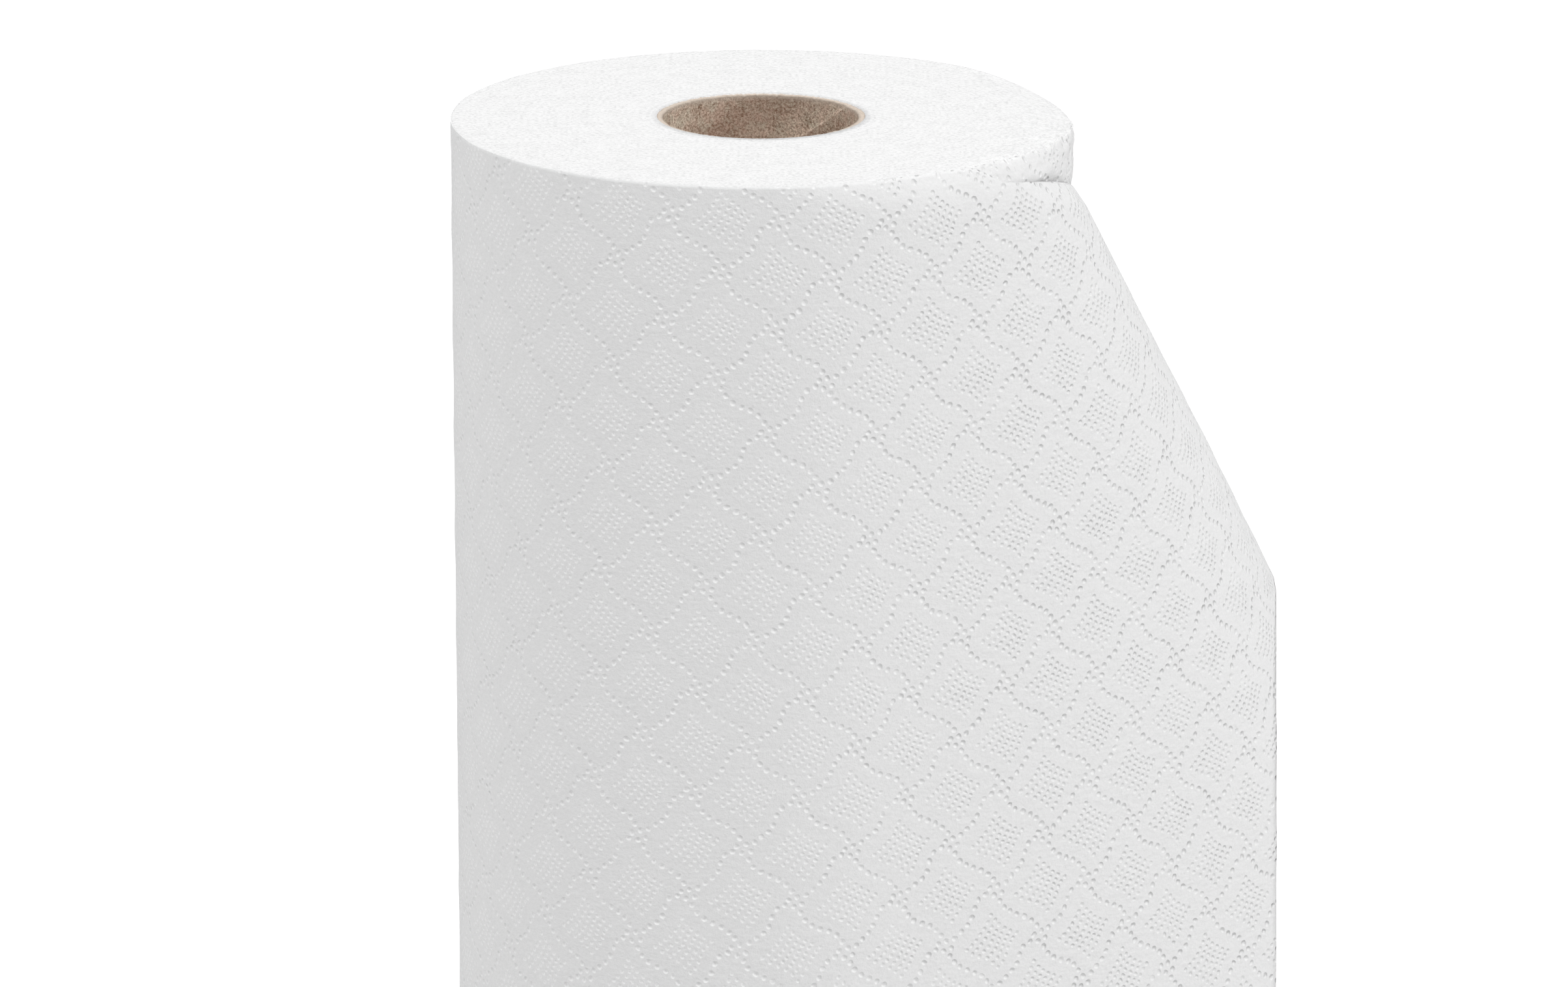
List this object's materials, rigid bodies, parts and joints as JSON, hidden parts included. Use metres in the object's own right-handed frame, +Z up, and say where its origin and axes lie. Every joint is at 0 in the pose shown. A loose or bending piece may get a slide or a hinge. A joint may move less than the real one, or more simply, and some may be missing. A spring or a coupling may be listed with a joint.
{
  "type": "exam table paper roll",
  "caption": "Roll of embossed soft paper for an exam table, wound on a cardboard core and standing on its end, with the tail of its outer turn flaring loose.",
  "frame": {"origin": "centre of the core's bore at the end that the roll stands on", "axes": "+Z up along the core's axis; -Y is the front, and the loose tail leaves the roll there and stands out towards +X"},
  "size_m": [0.175, 0.13, 0.5],
  "materials": {
    "core_card": "matte",
    "web_paper": "matte"
  },
  "bodies": {
    "root": {"core_tube": "core_card", "paper_web": "web_paper"}
  },
  "joints": []
}
